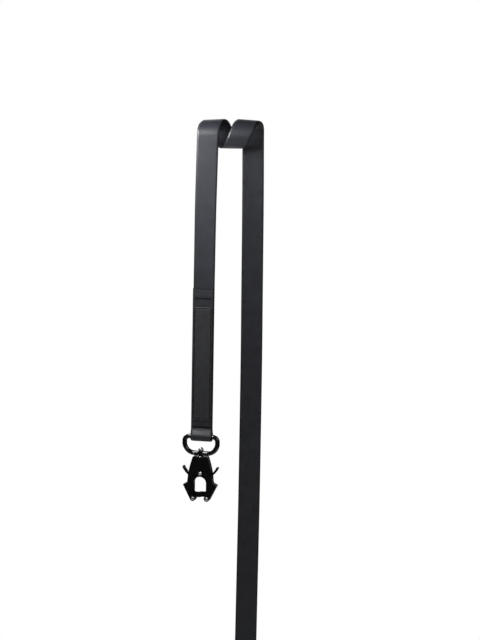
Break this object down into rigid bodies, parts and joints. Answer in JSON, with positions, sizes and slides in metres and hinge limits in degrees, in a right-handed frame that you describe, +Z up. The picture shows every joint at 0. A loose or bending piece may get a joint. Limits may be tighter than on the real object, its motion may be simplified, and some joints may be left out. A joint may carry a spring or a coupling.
{
  "type": "strap leash",
  "caption": "Flat coated-webbing dog leash hung round a rail, with a sewn clip end, label patch, swivel ring, two-jaw snap clip with side levers, and a sewn hand loop.",
  "frame": {"origin": "on the rail's axis, midway along the winding", "axes": "+X along the rail to the handle side, -Y towards the viewer of the picture, +Z up; both strands hang down -Z"},
  "size_m": [0.0908, 0.0712, 0.9445],
  "materials": {
    "strap": "semi-matte coated webbing",
    "thread": "matte",
    "patch": "satin",
    "ring": "gloss",
    "shell": "satin",
    "lever": "gloss",
    "steel": "polished",
    "spring": "drawn wire"
  },
  "bodies": {
    "strap": {"strap_clip_strand": "strap", "strap_rail_winding": "strap", "strap_handle_strand": "strap", "clip_end_fold": "strap", "clip_end_tacks": "thread", "label_patch": "patch", "patch_stitching": "thread", "hand_loop": "strap", "hand_loop_tacks": "thread"},
    "ring": {"swivel_ring": "ring"},
    "clip_body": {"front_shell": "shell", "back_shell": "shell", "swivel_post": "steel", "swivel_collar": "steel", "centre_rivet": "steel", "centre_spacer": "steel", "left_jaw_pin": "steel", "right_jaw_pin": "steel", "left_jaw_spring": "spring", "right_jaw_spring": "spring", "left_lever_spring": "spring", "right_lever_spring": "spring"},
    "left_jaw": {"left_jaw": "shell"},
    "right_jaw": {"right_jaw": "shell"},
    "left_lever": {"left_lever": "lever"},
    "right_lever": {"right_lever": "lever"}
  },
  "joints": [
    {"name": "ring_swing", "type": "hinge", "parent": "strap", "child": "ring", "pos_m": [-0.02858, -0.01711, -0.3502], "axis": [0.9744, -0.225, 0], "range_deg": [-120, 120]},
    {"name": "clip_swivel", "type": "hinge", "parent": "ring", "child": "clip_body", "pos_m": [-0.02858, -0.01711, -0.3697], "axis": [0, 0, 1], "continuous": true},
    {"name": "left_jaw_hinge", "type": "hinge", "parent": "clip_body", "child": "left_jaw", "pos_m": [-0.03662, -0.01526, -0.4226], "axis": [0.225, 0.9744, 0], "range_deg": [0, 100], "stiffness_Nm_per_rad": 0.01, "springref_deg": -57.3},
    {"name": "right_jaw_hinge", "type": "hinge", "parent": "clip_body", "child": "right_jaw", "pos_m": [-0.02054, -0.01897, -0.4226], "axis": [-0.225, -0.9744, 0], "range_deg": [0, 100], "stiffness_Nm_per_rad": 0.01, "springref_deg": -57.3},
    {"name": "left_lever_pivot", "type": "hinge", "parent": "clip_body", "child": "left_lever", "pos_m": [-0.04202, -0.01401, -0.4094], "axis": [0.225, 0.9744, 0], "range_deg": [0, 8]},
    {"name": "right_lever_pivot", "type": "hinge", "parent": "clip_body", "child": "right_lever", "pos_m": [-0.01513, -0.02022, -0.4094], "axis": [-0.225, -0.9744, 0], "range_deg": [0, 8]}
  ],
  "couplings": [
    {"joint": "left_lever_pivot", "follows": "left_jaw_hinge", "ratio": 0.08},
    {"joint": "right_lever_pivot", "follows": "right_jaw_hinge", "ratio": 0.08}
  ]
}
